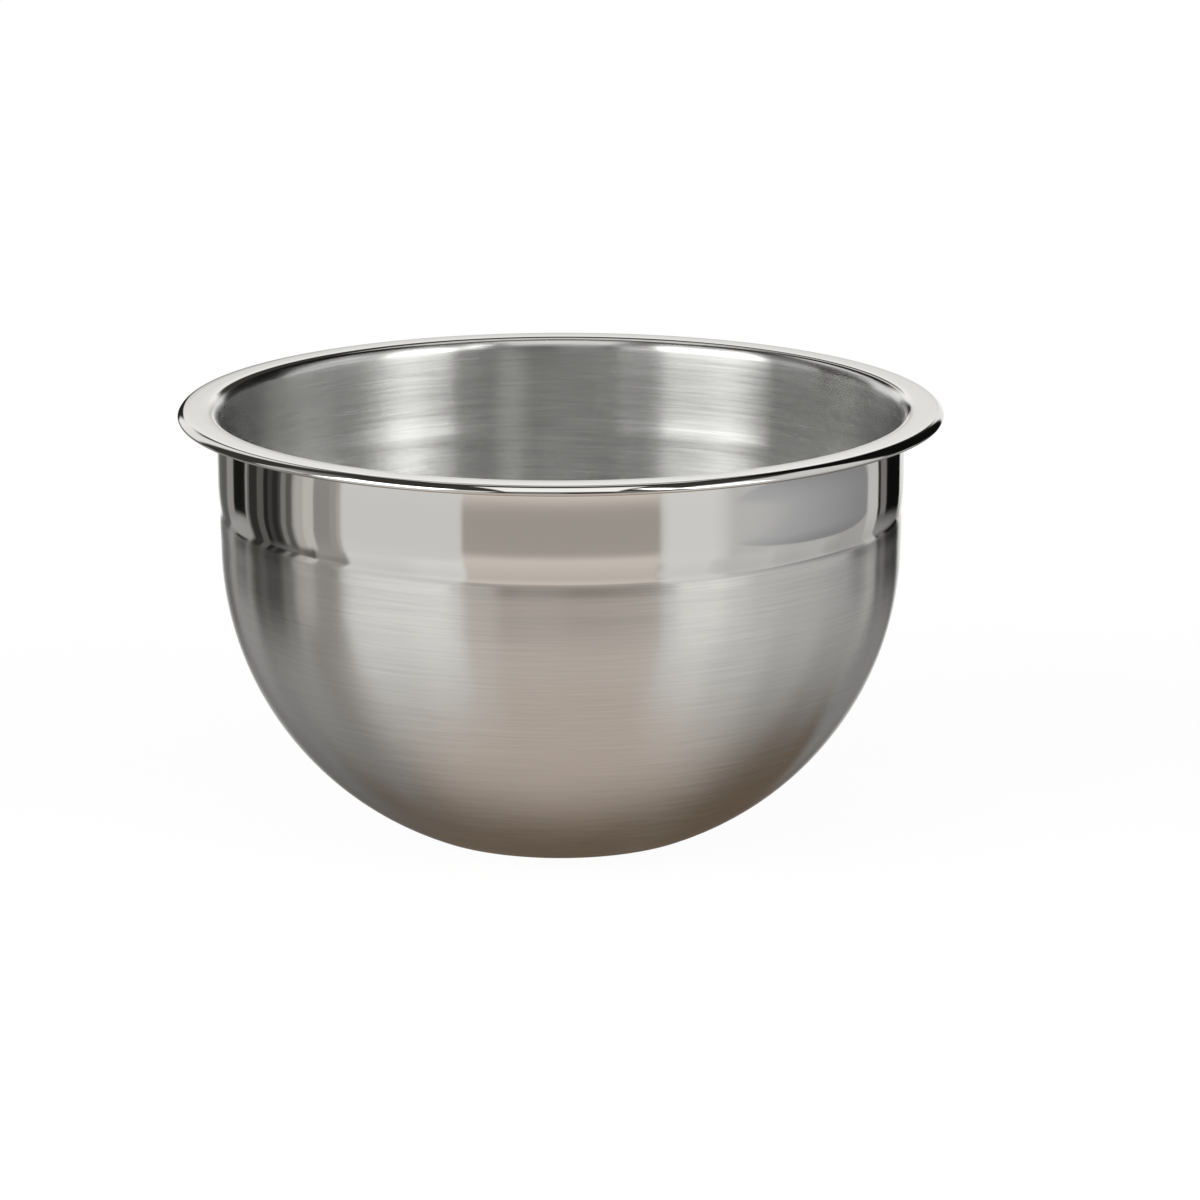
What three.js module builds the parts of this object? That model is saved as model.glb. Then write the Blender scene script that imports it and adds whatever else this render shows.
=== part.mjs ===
// A deep round mixing bowl, spun in one piece from a disc of stainless steel sheet.
// Millimetres, +Z up. The origin is the centre of the flat base, on the plane the bowl stands on.

import * as THREE from 'three';

// ---- Driving dimensions ----

const SHEET = 0.8; // thickness of the steel sheet, the same all over
const HEIGHT = 151; // table to the top of the rim
const OPENING_RADIUS = 120; // inner face of the collar: a nominal 24 cm bowl
const RIM_RADIUS = 134.5; // outermost edge of the rim

// Rim: the collar turns out over a round shoulder into a flat flange, whose edge rolls down and tucks in
const SHOULDER_RADIUS = 4.5;
const ROLL_RADIUS = 4; // the wide sweep of the rolled edge
const ROLL_CORNER_RADIUS = 1.2; // the tight turns at both ends of the sweep
const ROLL_STARTS = (28 * Math.PI) / 180; // how far the edge has turned down where the sweep starts
const ROLL_ENDS = (62 * Math.PI) / 180; // and where it ends
const TUCK_RADIUS = 0.95;
const TUCK_LENGTH = 0.6;

// Collar: the wall leans out a little under the shoulder, then stands upright down to the step
const LEAD_IN_BOTTOM = HEIGHT - 15;
const LEAD_IN_REACH = 0.24;
const LEAD_IN_TILT = 0.06; // radians off upright where the wall meets the shoulder

// Step: the wall draws in and the satin belly begins
const STEP_TOP = HEIGHT - 25;
const STEP_STEEPEST = HEIGHT - 34;
const STEP_BOTTOM = HEIGHT - 36.6;
const STEP_STEEPEST_RADIUS = OPENING_RADIUS - 0.5;
const STEP_SLOPE = 0.13; // radius lost per millimetre of height at the steepest point
const GROOVE_RADIUS = OPENING_RADIUS - 0.68;

// Belly: a short flare, then one large arc that rounds in to the base
const FLARE_TOP = HEIGHT - 41;
const FLARE_RADIUS = OPENING_RADIUS - 0.52;
const BELLY_HEIGHT = 102; // the widest point of the arc
const BELLY_RADIUS = OPENING_RADIUS - 0.7;
const BELLY_ARC = 110.5;

// Base: a flat ring to stand on, round a shallow raised centre
const KNUCKLE_RADIUS = 6; // between the belly and the standing ring
const DISH_RADIUS = 44; // where the raised centre ends
const DISH_RISE = 0.9;
const DISH_SLOPE_WIDTH = 3;

// How finely the curves are cut
const TURN_SEGMENTS = 72;

// ---- The inside face of the sheet, from the centre of the base out to the cut edge ----

// The belly arc's centre, and the knuckle arc that touches both the belly arc and the inside of the base.
const bellyCentre = new THREE.Vector2(BELLY_RADIUS - BELLY_ARC, BELLY_HEIGHT);
const knuckleInside = KNUCKLE_RADIUS - SHEET;
const knuckleHeight = SHEET + knuckleInside;
const knuckleReach = BELLY_ARC - knuckleInside;
const knuckleCentre = new THREE.Vector2(
  bellyCentre.x + Math.sqrt(knuckleReach ** 2 - (BELLY_HEIGHT - knuckleHeight) ** 2),
  knuckleHeight,
);
const knuckleAngle = Math.atan2(
  knuckleCentre.y - bellyCentre.y,
  knuckleCentre.x - bellyCentre.x,
);

const DOWN = -Math.PI / 2;
const UP = Math.PI / 2;

function line(ax, ay, bx, by) {
  return { curve: new THREE.LineCurve(new THREE.Vector2(ax, ay), new THREE.Vector2(bx, by)), cuts: 1 };
}

// An arc round (x, y) from one angle to another, clockwise when the angle falls.
function arc(x, y, radius, from, to, cuts) {
  const clockwise = to < from;
  return { curve: new THREE.EllipseCurve(x, y, radius, radius, from, to, clockwise), cuts };
}

// A smooth stretch between two points, with the slope of each end given as radius per millimetre of height.
function blend(ax, ay, slopeA, bx, by, slopeB, cuts) {
  const third = (by - ay) / 3;
  return {
    curve: new THREE.CubicBezierCurve(
      new THREE.Vector2(ax, ay),
      new THREE.Vector2(ax + slopeA * third, ay + third),
      new THREE.Vector2(bx - slopeB * third, by - third),
      new THREE.Vector2(bx, by),
    ),
    cuts,
  };
}

// A cosine ease from the raised centre down to the standing ring.
function dishEdge(cuts) {
  const points = [];
  for (let i = 0; i <= cuts; i++) {
    const share = i / cuts;
    const drop = (DISH_RISE * (1 - Math.cos(Math.PI * share))) / 2;
    points.push(new THREE.Vector2(DISH_RADIUS + DISH_SLOPE_WIDTH * share, SHEET + DISH_RISE - drop));
  }
  return { points };
}

// The rolled edge: a tight turn off the flange, a wide sweep, and a tight turn to upright at the rim.
function rimRoll() {
  const turns = [
    { radius: ROLL_CORNER_RADIUS, from: 0, to: ROLL_STARTS, cuts: 1 },
    { radius: ROLL_RADIUS, from: ROLL_STARTS, to: ROLL_ENDS, cuts: 2 },
    { radius: ROLL_CORNER_RADIUS, from: ROLL_ENDS, to: UP, cuts: 1 },
  ];
  let reach = 0;
  for (const { radius, from, to } of turns) reach += radius * (Math.sin(to) - Math.sin(from));
  const start = RIM_RADIUS - reach;
  let x = start;
  let y = HEIGHT;
  const arcs = turns.map(({ radius, from, to, cuts }) => {
    const centreX = x - radius * Math.sin(from);
    const centreY = y - radius * Math.cos(from);
    x = centreX + radius * Math.sin(to);
    y = centreY + radius * Math.cos(to);
    return arc(centreX, centreY, radius, UP - from, UP - to, cuts);
  });
  return { start, arcs, bottom: y };
}

function insideStretches() {
  const dishTop = SHEET + DISH_RISE;
  const ringInner = DISH_RADIUS + DISH_SLOPE_WIDTH;
  const shoulderHeight = HEIGHT - SHOULDER_RADIUS;
  const leadInRadius = OPENING_RADIUS + LEAD_IN_REACH;
  const leadInTop = shoulderHeight + SHOULDER_RADIUS * Math.sin(LEAD_IN_TILT);
  const leadInSlope = Math.tan(LEAD_IN_TILT);
  const shoulderStart = Math.PI - LEAD_IN_TILT;
  const flangeInner = leadInRadius + SHOULDER_RADIUS * Math.cos(LEAD_IN_TILT);
  const roll = rimRoll();
  const tuckCentre = RIM_RADIUS - TUCK_RADIUS;
  const tuckBottom = roll.bottom - TUCK_RADIUS;
  return [
    line(0, dishTop, DISH_RADIUS, dishTop),
    dishEdge(2),
    line(ringInner, SHEET, knuckleCentre.x, SHEET),
    arc(knuckleCentre.x, knuckleCentre.y, knuckleInside, DOWN, knuckleAngle, 2),
    arc(bellyCentre.x, bellyCentre.y, BELLY_ARC, knuckleAngle, 0, 10),
    blend(BELLY_RADIUS, BELLY_HEIGHT, 0, FLARE_RADIUS, FLARE_TOP, 0, 1),
    blend(FLARE_RADIUS, FLARE_TOP, 0, GROOVE_RADIUS, STEP_BOTTOM, 0, 1),
    blend(GROOVE_RADIUS, STEP_BOTTOM, 0, STEP_STEEPEST_RADIUS, STEP_STEEPEST, STEP_SLOPE, 2),
    blend(STEP_STEEPEST_RADIUS, STEP_STEEPEST, STEP_SLOPE, OPENING_RADIUS, STEP_TOP, 0, 3),
    line(OPENING_RADIUS, STEP_TOP, OPENING_RADIUS, LEAD_IN_BOTTOM),
    blend(OPENING_RADIUS, LEAD_IN_BOTTOM, 0, leadInRadius, leadInTop, leadInSlope, 2),
    arc(flangeInner, shoulderHeight, SHOULDER_RADIUS, shoulderStart, UP, 4),
    line(flangeInner, HEIGHT, roll.start, HEIGHT),
    ...roll.arcs,
    arc(tuckCentre, roll.bottom, TUCK_RADIUS, 0, DOWN, 2),
    line(tuckCentre, tuckBottom, tuckCentre - TUCK_LENGTH, tuckBottom),
  ];
}

function insideOutline() {
  const outline = [];
  for (const stretch of insideStretches()) {
    for (const point of stretch.points ?? stretch.curve.getPoints(stretch.cuts)) {
      const last = outline[outline.length - 1];
      if (!last || last.distanceTo(point) > 1e-6) outline.push(point);
    }
  }
  return outline;
}

// ---- The outside face: the inside face moved out by one sheet thickness ----

function outsideOutline(inside) {
  return inside.map((point, i) => {
    const before = inside[Math.max(i - 1, 0)];
    const after = inside[Math.min(i + 1, inside.length - 1)];
    const inward = i > 0 ? point.clone().sub(before).normalize() : null;
    const onward = i < inside.length - 1 ? after.clone().sub(point).normalize() : null;
    const along = new THREE.Vector2();
    if (inward) along.add(inward);
    if (onward) along.add(onward);
    along.normalize();
    // The corner is mitred, so that both flats beside it keep the full thickness.
    const mitre = inward && onward ? along.dot(inward) : 1;
    const normal = new THREE.Vector2(along.y, -along.x);
    return point.clone().addScaledVector(normal, SHEET / mitre);
  });
}

// ---- The bowl ----

function bowlGeometry() {
  const inside = insideOutline();
  const outside = outsideOutline(inside);
  outside[0].x = 0;
  // The outline runs up the outside and back down the inside, which turns the lathe's faces outwards.
  const outline = [...outside, ...inside.reverse()];
  return new THREE.LatheGeometry(outline, TURN_SEGMENTS).rotateX(Math.PI / 2);
}

const steel = new THREE.MeshStandardMaterial({ color: 0xb9b7b3, metalness: 1, roughness: 0.25 });

const shell = new THREE.Mesh(bowlGeometry(), steel);
shell.name = 'bowl_shell';

const mixingBowl = new THREE.Group();
mixingBowl.add(shell);

export default mixingBowl;
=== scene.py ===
"""A spun stainless steel mixing bowl in a plain studio.

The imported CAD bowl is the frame. A finer bowl of the same shape stands in for it, so that the
polished steel mirrors the studio without facets. Lengths are in metres; the profile is worked out in
millimetres.
"""

import math

import bpy
import numpy as np
from mathutils import Euler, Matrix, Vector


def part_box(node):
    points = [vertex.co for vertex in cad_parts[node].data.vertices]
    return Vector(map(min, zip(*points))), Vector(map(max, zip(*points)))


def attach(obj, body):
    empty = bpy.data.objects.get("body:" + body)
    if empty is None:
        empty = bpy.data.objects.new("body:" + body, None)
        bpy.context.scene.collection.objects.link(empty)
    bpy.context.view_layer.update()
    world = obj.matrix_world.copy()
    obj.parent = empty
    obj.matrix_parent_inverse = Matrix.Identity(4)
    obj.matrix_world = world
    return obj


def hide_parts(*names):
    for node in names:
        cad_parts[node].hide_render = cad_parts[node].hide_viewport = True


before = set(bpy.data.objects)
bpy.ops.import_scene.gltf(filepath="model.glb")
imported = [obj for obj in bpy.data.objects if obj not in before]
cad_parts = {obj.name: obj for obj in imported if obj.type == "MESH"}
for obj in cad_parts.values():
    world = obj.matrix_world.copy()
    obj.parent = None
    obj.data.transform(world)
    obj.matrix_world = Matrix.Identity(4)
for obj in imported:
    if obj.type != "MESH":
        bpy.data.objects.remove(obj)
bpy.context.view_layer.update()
MM = 0.001

# ---- Sizes ----

# In millimetres. The rim's radius and the height come from the CAD bowl, and the rest of the profile
# hangs from them.
_, bowl_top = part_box("bowl_shell")
RIM_RADIUS = bowl_top.x / MM
HEIGHT = bowl_top.z / MM
SHEET = 0.8
RIM_WIDTH = 14.5
OPENING_RADIUS = RIM_RADIUS - RIM_WIDTH

SHOULDER_RADIUS = 4.5
LEAD_IN_BOTTOM = HEIGHT - 15
LEAD_IN_REACH = 0.24
LEAD_IN_TILT = 0.06
ROLL_RADIUS = 4.0
ROLL_CORNER = 1.2
ROLL_STARTS = math.radians(28)
ROLL_ENDS = math.radians(62)
TUCK_RADIUS = 0.95
TUCK_LENGTH = 0.6

STEP_TOP = HEIGHT - 25
STEP_STEEPEST = HEIGHT - 34
STEP_BOTTOM = HEIGHT - 36.6
STEP_STEEPEST_RADIUS = OPENING_RADIUS - 0.5
STEP_SLOPE = 0.13
GROOVE_RADIUS = OPENING_RADIUS - 0.68

FLARE_TOP = HEIGHT - 41
FLARE_RADIUS = OPENING_RADIUS - 0.52
BELLY_HEIGHT = 102
BELLY_RADIUS = OPENING_RADIUS - 0.7
BELLY_ARC = 110.5

KNUCKLE_RADIUS = 6
DISH_RADIUS = 44
DISH_RISE = 0.9
DISH_SLOPE_WIDTH = 3

TURN_SEGMENTS = 384

# Where satin gives way to polish: outside, within this much height of the step's foot; inside, between
# these two heights at the shoulder. Beyond these radii the rim is polished all over.
STEP_SATIN_FADE = 0.6
SHOULDER_SATIN = (HEIGHT - 1.0, HEIGHT - 0.6)
SATIN_REACH_INSIDE = OPENING_RADIUS + 5
SATIN_REACH_OUTSIDE = OPENING_RADIUS + 2

# The inside face's run starts this far on, so that its turning marks differ from the outside's.
INSIDE_RUN_STARTS = 500


# ---- The bowl's mesh ----


def line(start, end, cuts):
    share = np.linspace(0, 1, cuts + 1)[:, None]
    return np.array(start) * (1 - share) + np.array(end) * share


def arc(centre, radius, start, end, cuts):
    angle = np.linspace(start, end, cuts + 1)
    return np.column_stack(
        [centre[0] + radius * np.cos(angle), centre[1] + radius * np.sin(angle)]
    )


def blend(start, slope_start, end, slope_end, cuts):
    """A smooth stretch of wall; each slope is radius per millimetre of height."""
    third = (end[1] - start[1]) / 3
    handles = np.array(
        [
            start,
            (start[0] + slope_start * third, start[1] + third),
            (end[0] - slope_end * third, end[1] - third),
            end,
        ]
    )
    t = np.linspace(0, 1, cuts + 1)[:, None]
    weights = [(1 - t) ** 3, 3 * t * (1 - t) ** 2, 3 * t**2 * (1 - t), t**3]
    return sum(weight * handle for weight, handle in zip(weights, handles))


def dish_edge(cuts):
    share = np.linspace(0, 1, cuts + 1)
    height = SHEET + DISH_RISE * (1 + np.cos(math.pi * share)) / 2
    return np.column_stack([DISH_RADIUS + DISH_SLOPE_WIDTH * share, height])


def rim_roll():
    """The flange's edge rolling down: a tight turn, a wide sweep and a second tight turn to upright.

    Each turn is its radius, its tilt from level at the start and at the end, and its cuts.
    """
    quarter = math.pi / 2
    turns = [
        (ROLL_CORNER, 0, ROLL_STARTS, 4),
        (ROLL_RADIUS, ROLL_STARTS, ROLL_ENDS, 6),
        (ROLL_CORNER, ROLL_ENDS, quarter, 4),
    ]
    reach = sum(r * (math.sin(b) - math.sin(a)) for r, a, b, _ in turns)
    start = (RIM_RADIUS - reach, HEIGHT)
    here = start
    arcs = []
    for radius, tilt, next_tilt, cuts in turns:
        centre = (here[0] - radius * math.sin(tilt), here[1] - radius * math.cos(tilt))
        arcs.append(arc(centre, radius, quarter - tilt, quarter - next_tilt, cuts))
        here = tuple(arcs[-1][-1])
    return arcs, start, here[1]


def inside_outline():
    """The inside face of the sheet, from the centre of the base to the cut edge under the rim."""
    quarter = math.pi / 2
    belly_centre = (BELLY_RADIUS - BELLY_ARC, BELLY_HEIGHT)
    knuckle_inside = KNUCKLE_RADIUS - SHEET
    knuckle_height = SHEET + knuckle_inside
    knuckle_reach = BELLY_ARC - knuckle_inside
    knuckle_drop = BELLY_HEIGHT - knuckle_height
    knuckle_centre = (
        belly_centre[0] + math.sqrt(knuckle_reach**2 - knuckle_drop**2),
        knuckle_height,
    )
    knuckle_angle = math.atan2(-knuckle_drop, knuckle_centre[0] - belly_centre[0])
    lead_in_radius = OPENING_RADIUS + LEAD_IN_REACH
    shoulder_height = HEIGHT - SHOULDER_RADIUS
    lead_in_top = shoulder_height + SHOULDER_RADIUS * math.sin(LEAD_IN_TILT)
    flange_inner = lead_in_radius + SHOULDER_RADIUS * math.cos(LEAD_IN_TILT)
    tuck_centre = RIM_RADIUS - TUCK_RADIUS
    roll, roll_start, tuck_top = rim_roll()
    dish_top = SHEET + DISH_RISE
    stretches = [
        line((0, dish_top), (DISH_RADIUS, dish_top), cuts=6),
        dish_edge(cuts=6),
        line((DISH_RADIUS + DISH_SLOPE_WIDTH, SHEET), (knuckle_centre[0], SHEET), cuts=2),
        arc(knuckle_centre, knuckle_inside, -quarter, knuckle_angle, cuts=7),
        arc(belly_centre, BELLY_ARC, knuckle_angle, 0, cuts=30),
        blend((BELLY_RADIUS, BELLY_HEIGHT), 0, (FLARE_RADIUS, FLARE_TOP), 0, cuts=5),
        blend((FLARE_RADIUS, FLARE_TOP), 0, (GROOVE_RADIUS, STEP_BOTTOM), 0, cuts=5),
        blend(
            (GROOVE_RADIUS, STEP_BOTTOM),
            0,
            (STEP_STEEPEST_RADIUS, STEP_STEEPEST),
            STEP_SLOPE,
            cuts=5,
        ),
        blend(
            (STEP_STEEPEST_RADIUS, STEP_STEEPEST),
            STEP_SLOPE,
            (OPENING_RADIUS, STEP_TOP),
            0,
            cuts=9,
        ),
        line((OPENING_RADIUS, STEP_TOP), (OPENING_RADIUS, LEAD_IN_BOTTOM), cuts=3),
        blend(
            (OPENING_RADIUS, LEAD_IN_BOTTOM),
            0,
            (lead_in_radius, lead_in_top),
            math.tan(LEAD_IN_TILT),
            cuts=6,
        ),
        arc(
            (flange_inner, shoulder_height),
            SHOULDER_RADIUS,
            2 * quarter - LEAD_IN_TILT,
            quarter,
            cuts=12,
        ),
        line((flange_inner, HEIGHT), (roll_start[0], HEIGHT), cuts=3),
        *roll,
        arc((tuck_centre, tuck_top), TUCK_RADIUS, 0, -quarter, cuts=5),
        line(
            (tuck_centre, tuck_top - TUCK_RADIUS),
            (tuck_centre - TUCK_LENGTH, tuck_top - TUCK_RADIUS),
            cuts=1,
        ),
    ]
    joined = [stretches[0]] + [stretch[1:] for stretch in stretches[1:]]
    return np.concatenate(joined)


def outside_outline(inside):
    """The inside face moved out by the sheet's thickness, mitred at each corner."""
    along = np.diff(inside, axis=0)
    along /= np.linalg.norm(along, axis=1)[:, None]
    before = np.vstack([along[:1], along])
    after = np.vstack([along, along[-1:]])
    middle = before + after
    middle /= np.linalg.norm(middle, axis=1)[:, None]
    mitre = np.sum(middle * before, axis=1)
    normal = np.column_stack([middle[:, 1], -middle[:, 0]])
    moved = inside + normal * (SHEET / mitre)[:, None]
    moved[0, 0] = 0
    return moved


def path_lengths(outline):
    steps = np.linalg.norm(np.diff(outline, axis=0), axis=1)
    return np.concatenate([[0], np.cumsum(steps)])


def smoothstep(low, high, values):
    t = np.clip((values - low) / (high - low), 0, 1)
    return t * t * (3 - 2 * t)


def make_bowl():
    """One closed surface of revolution.

    Each vertex carries how far it lies along the profile, how satin it is and whether it is inside.
    """
    inside = inside_outline()
    outside = outside_outline(inside)
    outline = np.vstack([outside, inside[::-1]])
    inside_run = path_lengths(inside)[::-1] + INSIDE_RUN_STARTS
    run = np.concatenate([path_lengths(outside), inside_run])

    # Outside, the satin starts under the step. Inside, it starts under the rim's shoulder.
    fade_starts, fade_ends = STEP_BOTTOM - STEP_SATIN_FADE, STEP_BOTTOM + STEP_SATIN_FADE
    satin_outside = 1 - smoothstep(fade_starts, fade_ends, outside[:, 1])
    satin_inside = 1 - smoothstep(*SHOULDER_SATIN, inside[:, 1])
    satin_inside[inside[:, 0] > SATIN_REACH_INSIDE] = 0
    satin_outside[outside[:, 0] > SATIN_REACH_OUTSIDE] = 0
    satin = np.concatenate([satin_outside, satin_inside[::-1]])
    is_inside = np.concatenate([np.zeros(len(outside)), np.ones(len(inside))])

    rings = outline[1:-1]
    angle = np.arange(TURN_SEGMENTS) * 2 * math.pi / TURN_SEGMENTS
    turned = np.stack(
        [
            rings[:, 0, None] * np.cos(angle),
            rings[:, 0, None] * np.sin(angle),
            np.repeat(rings[:, 1, None], TURN_SEGMENTS, axis=1),
        ],
        axis=2,
    ).reshape(-1, 3)
    poles = [(0, 0, outline[0, 1]), (0, 0, outline[-1, 1])]
    points = np.vstack([turned, poles]) * MM
    bottom_pole = len(turned)
    top_pole = bottom_pole + 1

    here = np.arange(TURN_SEGMENTS)
    onward = (here + 1) % TURN_SEGMENTS
    faces = []
    for ring in range(len(rings) - 1):
        low = ring * TURN_SEGMENTS
        high = low + TURN_SEGMENTS
        faces += np.column_stack([low + here, low + onward, high + onward, high + here]).tolist()
    last = (len(rings) - 1) * TURN_SEGMENTS
    faces += [[bottom_pole, b, a] for a, b in zip(here.tolist(), onward.tolist())]
    faces += [[top_pole, last + a, last + b] for a, b in zip(here.tolist(), onward.tolist())]

    mesh = bpy.data.meshes.new("bowl_steel")
    mesh.from_pydata(points.tolist(), [], faces)
    mesh.polygons.foreach_set("use_smooth", [True] * len(mesh.polygons))

    def per_vertex(name, values):
        spread = np.concatenate([np.repeat(values[1:-1], TURN_SEGMENTS), [values[0], values[-1]]])
        layer = mesh.attributes.new(name, "FLOAT", "POINT")
        layer.data.foreach_set("value", spread.astype(np.float32))

    per_vertex("run", run * MM)
    per_vertex("satin", satin)
    per_vertex("inside", is_inside)
    mesh.validate()
    mesh.update()
    bowl = bpy.data.objects.new("bowl_steel", mesh)
    bpy.context.scene.collection.objects.link(bowl)
    return bowl


# ---- Steel ----

# Turning marks are noise drawn out round the bowl: the radius of its ring in cells of the noise, and its
# cells per metre of profile.
FINE_MARKS = (3.0, 1800)
BROAD_MARKS = (5.0, 700)
CLOUD = (3.0, 30)
# The noise's detail and roughness.
FINE_GRAIN = (3.0, 0.6)
BROAD_GRAIN = (2.0, 0.5)
SMALLEST_RADIUS = 1e-5

# How much the marks change the steel's brightness, outside and inside.
FINE_TONE = (0.22, 0.46)
BROAD_TONE = (0.06, 0.13)

STEEL = (0.70, 0.685, 0.665, 1)
STEEL_INSIDE = (0.72, 0.72, 0.71, 1)
POLISH_ROUGHNESS = 0.045
POLISH_ROUGHNESS_SPREAD = 0.02
SATIN_ROUGHNESS = 0.20
SATIN_ROUGHNESS_SPREAD = 0.06
SATIN_ROUGHNESS_INSIDE = 0.06
# The marks' relief: its depth, its strength outside and inside, and the two noises' shares of it.
MARK_DEPTH = 0.00001
MARK_STRENGTH = (0.5, 0.2)
FINE_RELIEF = 0.7
BROAD_RELIEF = 0.6
QUARTER_TURN = 0.25


class Graph:
    """A few short ways to add nodes to a node tree."""

    def __init__(self, tree):
        self.tree = tree
        self.tree.nodes.clear()

    def node(self, kind, **settings):
        made = self.tree.nodes.new(kind)
        for name, value in settings.items():
            setattr(made, name, value)
        return made

    def plug(self, value, socket):
        if isinstance(value, bpy.types.NodeSocket):
            self.tree.links.new(value, socket)
        else:
            socket.default_value = value

    def math(self, operation, *values):
        made = self.node("ShaderNodeMath", operation=operation)
        for value, socket in zip(values, made.inputs):
            self.plug(value, socket)
        return made.outputs[0]

    def smooth(self, value, low, high):
        """0 where the value is at low, 1 where it is at high; low may be the larger."""
        made = self.node("ShaderNodeMapRange", interpolation_type="SMOOTHSTEP")
        for given, name in [(value, "Value"), (low, "From Min"), (high, "From Max")]:
            self.plug(given, made.inputs[name])
        return made.outputs[0]

    def mix_value(self, share, a, b):
        made = self.node("ShaderNodeMix", data_type="FLOAT")
        self.plug(share, made.inputs[0])
        self.plug(a, made.inputs[2])
        self.plug(b, made.inputs[3])
        return made.outputs[0]

    def mix_colour(self, share, a, b, blend_type="MIX"):
        made = self.node("ShaderNodeMix", data_type="RGBA", blend_type=blend_type)
        self.plug(share, made.inputs[0])
        self.plug(a, made.inputs[6])
        self.plug(b, made.inputs[7])
        return made.outputs[2]

    def noise(self, vector, detail, roughness):
        made = self.node("ShaderNodeTexNoise")
        self.plug(vector, made.inputs["Vector"])
        made.inputs["Scale"].default_value = 1.0
        made.inputs["Detail"].default_value = detail
        made.inputs["Roughness"].default_value = roughness
        return made.outputs[0]


def brushed_vector(graph, cosine, sine, run, around, across):
    """Coordinates drawn out round the bowl, so that noise in them looks like turning marks."""
    made = graph.node("ShaderNodeCombineXYZ")
    graph.plug(graph.math("MULTIPLY", cosine, around), made.inputs[0])
    graph.plug(graph.math("MULTIPLY", sine, around), made.inputs[1])
    graph.plug(graph.math("MULTIPLY", run, across), made.inputs[2])
    return made.outputs[0]


def steel_material():
    material = bpy.data.materials.new("spun_steel")
    material.use_nodes = True
    graph = Graph(material.node_tree)
    output = graph.node("ShaderNodeOutputMaterial")
    shader = graph.node("ShaderNodeBsdfPrincipled")
    graph.tree.links.new(shader.outputs[0], output.inputs[0])

    place = graph.node("ShaderNodeSeparateXYZ")
    graph.tree.links.new(graph.node("ShaderNodeTexCoord").outputs["Object"], place.inputs[0])
    x, y = place.outputs[0], place.outputs[1]
    x_squared = graph.math("MULTIPLY", x, x)
    y_squared = graph.math("MULTIPLY", y, y)
    radius = graph.math("SQRT", graph.math("ADD", x_squared, y_squared))
    radius = graph.math("MAXIMUM", radius, SMALLEST_RADIUS)
    cosine = graph.math("DIVIDE", x, radius)
    sine = graph.math("DIVIDE", y, radius)
    run = graph.node("ShaderNodeAttribute", attribute_name="run").outputs["Fac"]
    satin = graph.node("ShaderNodeAttribute", attribute_name="satin").outputs["Fac"]
    inside = graph.node("ShaderNodeAttribute", attribute_name="inside").outputs["Fac"]
    inside_satin = graph.math("MULTIPLY", inside, satin)

    fine = graph.noise(brushed_vector(graph, cosine, sine, run, *FINE_MARKS), *FINE_GRAIN)
    broad = graph.noise(brushed_vector(graph, cosine, sine, run, *BROAD_MARKS), *BROAD_GRAIN)
    cloud = graph.noise(brushed_vector(graph, cosine, sine, run, *CLOUD), *BROAD_GRAIN)
    fine_from_mean = graph.math("SUBTRACT", fine, 0.5)
    broad_from_mean = graph.math("SUBTRACT", broad, 0.5)

    # The marks change the tone more inside the bowl than outside.
    fine_marks = graph.math("MULTIPLY", fine_from_mean, graph.mix_value(inside, *FINE_TONE))
    broad_marks = graph.math("MULTIPLY", broad_from_mean, graph.mix_value(inside, *BROAD_TONE))
    tone = graph.math("ADD", 1.0, graph.math("ADD", fine_marks, broad_marks))
    satin_tone = graph.mix_value(satin, 1.0, tone)
    grey = graph.node("ShaderNodeCombineColor")
    for socket in grey.inputs:
        graph.plug(satin_tone, socket)
    steel = graph.mix_colour(inside_satin, STEEL, STEEL_INSIDE)
    colour = graph.mix_colour(1.0, steel, grey.outputs[0], "MULTIPLY")
    graph.plug(colour, shader.inputs["Base Color"])

    shader.inputs["Metallic"].default_value = 1.0
    uneven = graph.math("MULTIPLY", broad_from_mean, SATIN_ROUGHNESS_SPREAD)
    satin_roughness = graph.math("ADD", uneven, SATIN_ROUGHNESS)
    rougher_inside = graph.math("MULTIPLY", inside_satin, SATIN_ROUGHNESS_INSIDE)
    satin_roughness = graph.math("ADD", satin_roughness, rougher_inside)
    polish_roughness = graph.math("MULTIPLY", cloud, POLISH_ROUGHNESS_SPREAD)
    polish_roughness = graph.math("ADD", polish_roughness, POLISH_ROUGHNESS)
    graph.plug(graph.mix_value(satin, polish_roughness, satin_roughness), shader.inputs["Roughness"])

    # The turning marks run round the bowl, so the satin smears its reflections up and down the wall.
    graph.plug(satin, shader.inputs["Anisotropic"])
    shader.inputs["Anisotropic Rotation"].default_value = QUARTER_TURN
    tangent = graph.node("ShaderNodeTangent", direction_type="RADIAL", axis="Z")
    graph.tree.links.new(tangent.outputs[0], shader.inputs["Tangent"])

    fine_relief = graph.math("MULTIPLY", fine, FINE_RELIEF)
    broad_relief = graph.math("MULTIPLY", broad, BROAD_RELIEF)
    relief = graph.math("ADD", fine_relief, broad_relief)
    bump = graph.node("ShaderNodeBump")
    bump.inputs["Distance"].default_value = MARK_DEPTH
    strength = graph.math("MULTIPLY", satin, graph.mix_value(inside, *MARK_STRENGTH))
    graph.plug(strength, bump.inputs["Strength"])
    graph.plug(relief, bump.inputs["Height"])
    graph.tree.links.new(bump.outputs[0], shader.inputs["Normal"])
    return material


# ---- The studio, as the steel sees it ----

TAUPE = (1.09, 1.0, 0.92)
SAND = (1.03, 1.0, 0.955)
NEUTRAL = (1.0, 1.0, 0.985)
COOL = (0.98, 1.0, 1.03)
STAND_SOFT = 0.4
STAND_LOWEST = -20
STAND_HIGHEST = -8
STAND_SOFT_UP = 1.5


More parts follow.
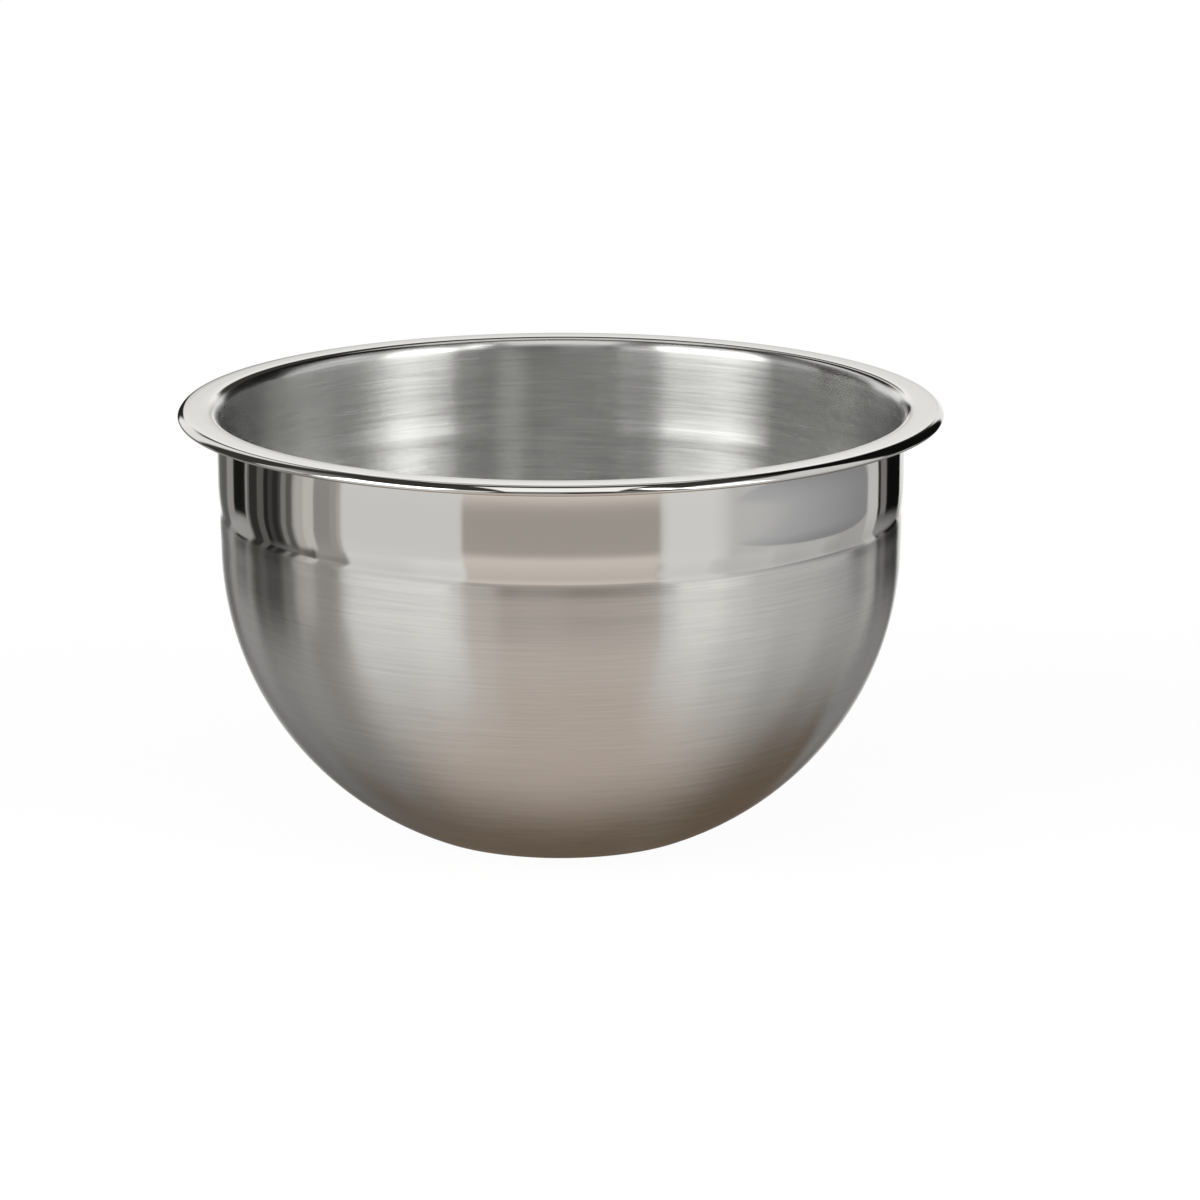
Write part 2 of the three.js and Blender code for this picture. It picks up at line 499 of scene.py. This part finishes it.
def stand(start, end, brightness):
    """A narrow stand, or the gap beside one, between two azimuths behind the bowl on the left."""
    across = ((start + end) / 2, (end - start) / 2, STAND_SOFT)
    up = (STAND_LOWEST, STAND_HIGHEST, STAND_SOFT_UP)
    return (*across, *up, SAND, brightness, brightness)


# What stands round the bowl; a later row covers an earlier one. Angles are in degrees. Azimuth 0 is the
# camera's side and grows to the camera's right; elevation 0 is level. Each row: middle azimuth, half
# width, softness across, lowest elevation, highest elevation, softness up, tint, brightness at the
# bottom, brightness at the top.
STUDIO = [
    # the backdrop behind the bowl, the light that rims the bowl's edges and the gap beside the backdrop
    (-154, 20, 3, -4, 48, 6, NEUTRAL, 1.0, 0.95),
    (171, 14, 2, -14, 15, 3, NEUTRAL, 0.95, 0.95),
    (180, 12, 4, 5, 17, 2, NEUTRAL, 0.60, 1.15),
    (-160.5, 9, 3, 20, 64, 4, NEUTRAL, 0.03, 0.03),
    (180, 15, 3, -23, -8, 2.5, NEUTRAL, 0.85, 0.85),
    (-168, 8, 2, -12, 10, 2, NEUTRAL, 0.02, 0.02),
    # boards behind on the left
    (-117, 18, 5, -60, -22, 5, NEUTRAL, 0.23, 0.38),
    (-150, 16, 3, -42, -12, 5, NEUTRAL, 0.15, 0.23),
    (-155.5, 4, 1, -19, -4, 1.5, NEUTRAL, 0.12, 0.12),
    (-139, 11, 2, -40, -14, 3, NEUTRAL, 0.24, 0.40),
    (-145.5, 4, 0.8, -15, -6, 1, SAND, 0.32, 0.32),
    (-136.4, 5.5, 0.7, -14.3, -5, 0.7, NEUTRAL, 0.01, 0.01),
    (-116, 13, 2, -19, -8, 2.5, SAND, 0.10, 0.07),
    stand(-130.5, -129.1, 0.38),
    stand(-129.1, -127.6, 0.17),
    stand(-127.6, -121.6, 0.035),
    stand(-121.6, -117.2, 0.13),
    stand(-117.2, -114.3, 0.02),
    stand(-114.3, -111.8, 0.06),
    stand(-111.8, -108.2, 0.03),
    stand(-108.2, -106.7, 0.07),
    stand(-106.7, -103.8, 0.25),
    stand(-103.8, -99.2, 0.12),
    # the edge of the left softbox
    (-97, 3.6, 0.8, -21, -4, 3, SAND, 0.34, 0.54),
    (-91, 10, 1.5, 0, 50, 4, NEUTRAL, 0.80, 0.20),
    (-84.5, 8, 1, -24, -6, 3, SAND, 0.38, 0.30),
    stand(-99.2, -95.2, 0.52),
    stand(-95.2, -90.0, 0.63),
    stand(-82.6, -79.8, 0.38),
    stand(-79.8, -77.4, 0.47),
    # the left softbox and the sheet under it
    (-55.1, 22.5, 1.2, -46, -12, 8, NEUTRAL, 0.57, 0.88),
    (-38, 14, 6, -46, -12, 8, NEUTRAL, 0.65, 0.94),
    (-55.1, 22.5, 1.2, -18.5, -4, 2, NEUTRAL, 0.80, 0.72),
    (-28, 7, 3, -2, 40, 5, NEUTRAL, 0.70, 1.00),
    (-57.5, 21.0, 1.5, -4, 42, 4, NEUTRAL, 0.5, 5.9),
    # the sheet that runs along the right
    (115, 14, 6, -40, -12, 8, NEUTRAL, 0.28, 0.50),
    (115, 14, 6, -17, -6, 3, NEUTRAL, 0.50, 0.48),
    (90, 14, 6, -46, -12, 8, NEUTRAL, 0.38, 0.62),
    (90, 14, 6, -18, -6, 3, NEUTRAL, 0.60, 0.60),
    (66, 14, 5, -46, -12, 8, NEUTRAL, 0.55, 0.69),
    (66, 14, 5, -18, -6, 3, NEUTRAL, 0.64, 0.64),
    (43.5, 11.5, 5, -46, -12, 8, NEUTRAL, 0.68, 0.86),
    (43.5, 11.5, 5, -20, -4, 2, NEUTRAL, 0.85, 0.80),
    (145, 16, 3, -34, -15.5, 2.5, NEUTRAL, 0.24, 0.30),
    (128.0, 4.2, 0.6, -30, -8, 2, NEUTRAL, 0.38, 0.70),
    (145.4, 13.2, 0.7, -14.6, -4, 0.8, NEUTRAL, 0.005, 0.005),
    (137.2, 2.8, 0.8, -15, -9, 1, NEUTRAL, 0.22, 0.22),
    # the table's end and the dark room behind the camera
    (0, 32.7, 1.2, -36, -12, 5, TAUPE, 0.57, 0.72),
    (0, 32.7, 1.2, -15.5, -6, 2.5, TAUPE, 0.42, 0.36),
    (-7, 8, 3, -2, 34, 5, NEUTRAL, 0.20, 0.30),
    (26, 9, 3, -2, 40, 5, NEUTRAL, 0.15, 0.30),
    # the right softbox and the black flag beside it
    (80, 30, 1.5, -6, 50, 3, NEUTRAL, 0.75, 0.80),
    (52, 13.5, 2, 0, 42, 5, NEUTRAL, 1.2, 4.4),
    (37, 4, 2, 32, 60, 4, NEUTRAL, 3.0, 5.0),
    (135, 21, 1.5, -10, 62, 2.5, NEUTRAL, 0.006, 0.006),
]

# A round reflector leans on the right: azimuth and elevation of its middle, half width, half height.
REFLECTOR = (90.5, -12, 33.5, 5)
REFLECTOR_SOFT = 0.06
# Its upper edge is cut off straight: the elevation at its middle, and the rise to its rear end.
REFLECTOR_UPPER = -12.1
REFLECTOR_SLANT = 1.9
REFLECTOR_UPPER_SOFT = 0.4
# It fades from light, high up on the camera's side, to dim, low down towards the back.
REFLECTOR_LIGHT = 0.57
REFLECTOR_DIM = 0.29
REFLECTOR_FADE = (-0.8, 1.5)

# Overhead softboxes, placed on a sphere of radius 1: their half width, and for each its near end, its far
# end and its brightness.
OVERHEAD_HALF_WIDTH = 0.24
OVERHEAD_SIDE_SOFT = 0.01
OVERHEAD_END_SOFT = 0.03
OVERHEAD_LOWEST = (0.4, 0.5)
OVERHEAD = [(-0.68, -0.03, 1.25), (0.32, 0.66, 0.8)]

DARK = (0.05, 0.047, 0.043, 1)
TABLE_BEHIND = (0.130, 0.092, 0.060, 1)
TABLE_IN_FRONT = (0.590, 0.515, 0.455, 1)
TABLE_SIDES = (0.515, 0.510, 0.490, 1)
# On the same sphere, where the table changes from front to sides and from back to the rest, and between
# which elevations it ends.
TABLE_SIDES_START = (0.35, 0.75)
TABLE_BEHIND_ENDS = (0.45, -0.28)
TABLE_EDGE_ELEVATION = (-30, -20)
BACKDROP = (0.985, 0.985, 0.985, 1)


def studio_world():
    world = bpy.data.worlds.new("studio")
    world.use_nodes = True
    bpy.context.scene.world = world
    graph = Graph(world.node_tree)
    output = graph.node("ShaderNodeOutputWorld")
    direction = graph.node("ShaderNodeSeparateXYZ")
    graph.tree.links.new(graph.node("ShaderNodeTexCoord").outputs["Generated"], direction.inputs[0])
    x, y, z = direction.outputs
    azimuth = graph.math("DEGREES", graph.math("ARCTAN2", x, graph.math("MULTIPLY", y, -1)))
    elevation = graph.math("DEGREES", graph.math("ARCSINE", z))

    # The table is warm and pale in front of the bowl, grey at the sides and dark brown behind it.
    from_middle = graph.math("ABSOLUTE", x)
    to_the_side = graph.smooth(from_middle, *TABLE_SIDES_START)
    table = graph.mix_colour(to_the_side, TABLE_IN_FRONT, TABLE_SIDES)
    table = graph.mix_colour(graph.smooth(y, *TABLE_BEHIND_ENDS), TABLE_BEHIND, table)
    colour = graph.mix_colour(graph.smooth(elevation, *TABLE_EDGE_ELEVATION), table, DARK)
    for centre, half, soft_across, low, high, soft_up, tint, bottom, top in STUDIO:
        turn = graph.math("WRAP", graph.math("SUBTRACT", azimuth, centre), 180, -180)
        offset = graph.math("ABSOLUTE", turn)
        mask = graph.smooth(offset, half + soft_across, half - soft_across)
        mask = graph.math("MULTIPLY", mask, graph.smooth(elevation, low - soft_up, low + soft_up))
        mask = graph.math("MULTIPLY", mask, graph.smooth(elevation, high + soft_up, high - soft_up))
        shade = graph.mix_colour(
            graph.smooth(elevation, low, high),
            (*[bottom * part for part in tint], 1),
            (*[top * part for part in tint], 1),
        )
        colour = graph.mix_colour(mask, colour, shade)

    middle, level, half, tall = REFLECTOR
    across = graph.math("DIVIDE", graph.math("SUBTRACT", azimuth, middle), half)
    along = graph.math("DIVIDE", graph.math("SUBTRACT", elevation, level), tall)
    across_squared = graph.math("MULTIPLY", across, across)
    along_squared = graph.math("MULTIPLY", along, along)
    reach = graph.math("ADD", across_squared, along_squared)
    shade = graph.mix_colour(
        graph.smooth(graph.math("SUBTRACT", across, along), *REFLECTOR_FADE),
        (*[REFLECTOR_LIGHT * part for part in COOL], 1),
        (*[REFLECTOR_DIM * part for part in COOL], 1),
    )
    upper_edge = graph.math("ADD", graph.math("MULTIPLY", across, REFLECTOR_SLANT), REFLECTOR_UPPER)
    above = graph.math("SUBTRACT", elevation, upper_edge)
    mask = graph.smooth(above, REFLECTOR_UPPER_SOFT, -REFLECTOR_UPPER_SOFT)
    within = graph.smooth(reach, 1 + REFLECTOR_SOFT, 1 - REFLECTOR_SOFT)
    mask = graph.math("MULTIPLY", mask, within)
    colour = graph.mix_colour(mask, colour, shade)

    # Two softboxes hang overhead, one from the camera's side to over the bowl and one high behind it.
    for near, far, brightness in OVERHEAD:
        mask = graph.smooth(
            from_middle,
            OVERHEAD_HALF_WIDTH + OVERHEAD_SIDE_SOFT,
            OVERHEAD_HALF_WIDTH - OVERHEAD_SIDE_SOFT,
        )
        past_near = graph.smooth(y, near - OVERHEAD_END_SOFT, near + OVERHEAD_END_SOFT)
        before_far = graph.smooth(y, far + OVERHEAD_END_SOFT, far - OVERHEAD_END_SOFT)
        mask = graph.math("MULTIPLY", mask, past_near)
        mask = graph.math("MULTIPLY", mask, before_far)
        mask = graph.math("MULTIPLY", mask, graph.smooth(z, *OVERHEAD_LOWEST))
        colour = graph.mix_colour(mask, colour, (*[brightness * part for part in NEUTRAL], 1))

    lit = graph.node("ShaderNodeBackground")
    graph.plug(colour, lit.inputs[0])
    backdrop = graph.node("ShaderNodeBackground")
    backdrop.inputs[0].default_value = BACKDROP
    mix = graph.node("ShaderNodeMixShader")
    seen = graph.node("ShaderNodeLightPath").outputs["Is Camera Ray"]
    graph.plug(seen, mix.inputs[0])
    graph.tree.links.new(lit.outputs[0], mix.inputs[1])
    graph.tree.links.new(backdrop.outputs[0], mix.inputs[2])
    graph.tree.links.new(mix.outputs[0], output.inputs[0])


# ---- The floor and the camera ----

FLOOR_HALF_SIZE = 30.0
FLOOR_GAP = 0.0002
FLOOR_PAINT = (0.8, 0.8, 0.8, 1)
FLOOR_GLOW = (1.05, 1.05, 1.05, 1)
FLOOR_GLOW_SHARE = 0.9

# The camera: sizes in millimetres, its place in metres, its angles in degrees.
SENSOR_WIDTH = 36.0
LENS = 141.75
CAMERA_PLACE = (0, -1.6307, 0.4880)
CAMERA_LOOKS_DOWN = 14.06
CAMERA_TURNS_RIGHT = 0.484


def make_floor():
    mesh = bpy.data.meshes.new("floor")
    size = FLOOR_HALF_SIZE
    corners = [(-size, -size, 0), (size, -size, 0), (size, size, 0), (-size, size, 0)]
    mesh.from_pydata(corners, [], [(0, 1, 2, 3)])
    floor = bpy.data.objects.new("floor", mesh)
    bpy.context.scene.collection.objects.link(floor)
    floor.location.z = -FLOOR_GAP
    material = bpy.data.materials.new("floor")
    material.use_nodes = True
    graph = Graph(material.node_tree)
    output = graph.node("ShaderNodeOutputMaterial")
    paint = graph.node("ShaderNodeBsdfDiffuse")
    paint.inputs[0].default_value = FLOOR_PAINT
    glow = graph.node("ShaderNodeEmission")
    glow.inputs[0].default_value = FLOOR_GLOW
    mix = graph.node("ShaderNodeMixShader")
    mix.inputs[0].default_value = FLOOR_GLOW_SHARE
    graph.tree.links.new(paint.outputs[0], mix.inputs[1])
    graph.tree.links.new(glow.outputs[0], mix.inputs[2])
    graph.tree.links.new(mix.outputs[0], output.inputs[0])
    mesh.materials.append(material)
    floor.visible_glossy = False


def make_camera():
    data = bpy.data.cameras.new("camera")
    data.sensor_width = SENSOR_WIDTH
    data.lens = LENS
    camera = bpy.data.objects.new("camera", data)
    bpy.context.scene.collection.objects.link(camera)
    camera.location = CAMERA_PLACE
    tilt = math.radians(90 - CAMERA_LOOKS_DOWN)
    camera.rotation_euler = Euler((tilt, 0, math.radians(-CAMERA_TURNS_RIGHT)))
    bpy.context.scene.camera = camera


bowl = make_bowl()
bowl.data.materials.append(steel_material())
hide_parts("bowl_shell")
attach(bowl, "root")
studio_world()
make_floor()
make_camera()
bpy.context.scene.view_settings.view_transform = "Standard"
